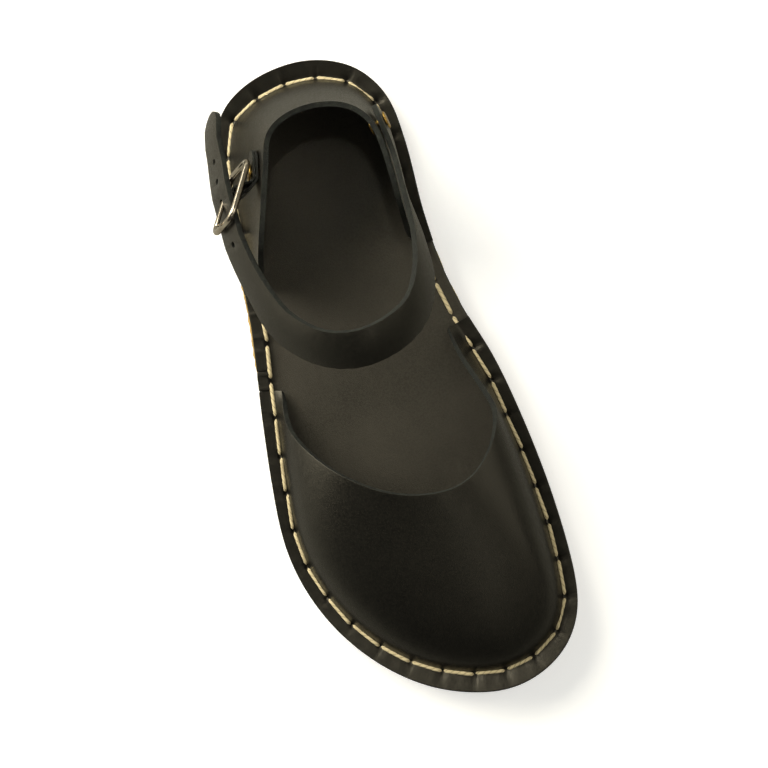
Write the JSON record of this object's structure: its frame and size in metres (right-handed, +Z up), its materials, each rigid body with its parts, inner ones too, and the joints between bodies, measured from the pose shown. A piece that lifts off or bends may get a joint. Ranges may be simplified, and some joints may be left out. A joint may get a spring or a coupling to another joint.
{
  "type": "leather sandal",
  "caption": "Closed-toe leather sandal for a right foot: hollow vamp and open heel counter stitched down onto a two-layer sole, with a buckled ankle strap.",
  "frame": {"origin": "on the floor, under the middle of the sole's outline", "axes": "+Z up, +Y from heel to toe, +X to the outer (lateral) side of the right foot"},
  "size_m": [0.1066, 0.2569, 0.0825],
  "materials": {
    "sole_leather": "vegetable-tanned sole leather with a raw cut edge",
    "insole_leather": "smooth dyed insole leather, lightly mottled",
    "upper_leather": "black full-grain leather with a satin sheen",
    "strap_leather": "black full-grain leather strap with raw edges",
    "nickel": "polished antique nickel",
    "brass": "polished brass"
  },
  "bodies": {
    "root": {"outsole": "sole_leather", "insole": "insole_leather", "vamp": "upper_leather", "heel_counter": "upper_leather", "welt_strip": "upper_leather", "welt_patch": "upper_leather", "ankle_strap": "strap_leather", "buckle_tab": "strap_leather", "buckle_frame": "nickel", "buckle_prong": "nickel", "rivet_inner_side": "brass", "rivet_outer_side": "brass"}
  },
  "joints": []
}
